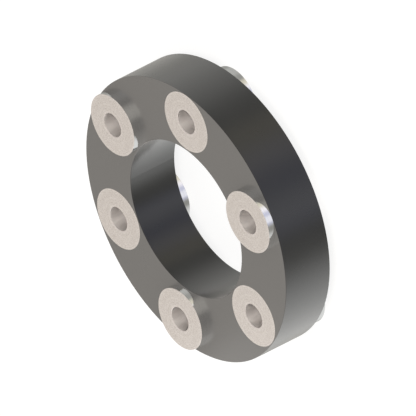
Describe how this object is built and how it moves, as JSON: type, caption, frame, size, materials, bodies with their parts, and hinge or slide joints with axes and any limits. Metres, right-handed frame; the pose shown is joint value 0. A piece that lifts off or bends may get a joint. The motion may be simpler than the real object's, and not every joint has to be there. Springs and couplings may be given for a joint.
{
  "type": "fan drive coupling",
  "caption": "Flexible disc coupling for a fan drive: thick rubber ring with bonded steel bolt sleeves, alternately proud of the front and rear faces.",
  "frame": {"origin": "on the coupling's axis, in the plane of the rear sleeves' proud ends", "axes": "+Z along the coupling's axis towards the front flange; +Y through the first front sleeve"},
  "size_m": [0.12, 0.12, 0.0283],
  "materials": {
    "rubber": "satin",
    "steel": "satin"
  },
  "bodies": {
    "root": {"rubber_ring": "rubber", "front_sleeve_1": "steel", "front_sleeve_2": "steel", "front_sleeve_3": "steel", "rear_sleeve_1": "steel", "rear_sleeve_2": "steel", "rear_sleeve_3": "steel"}
  },
  "joints": []
}
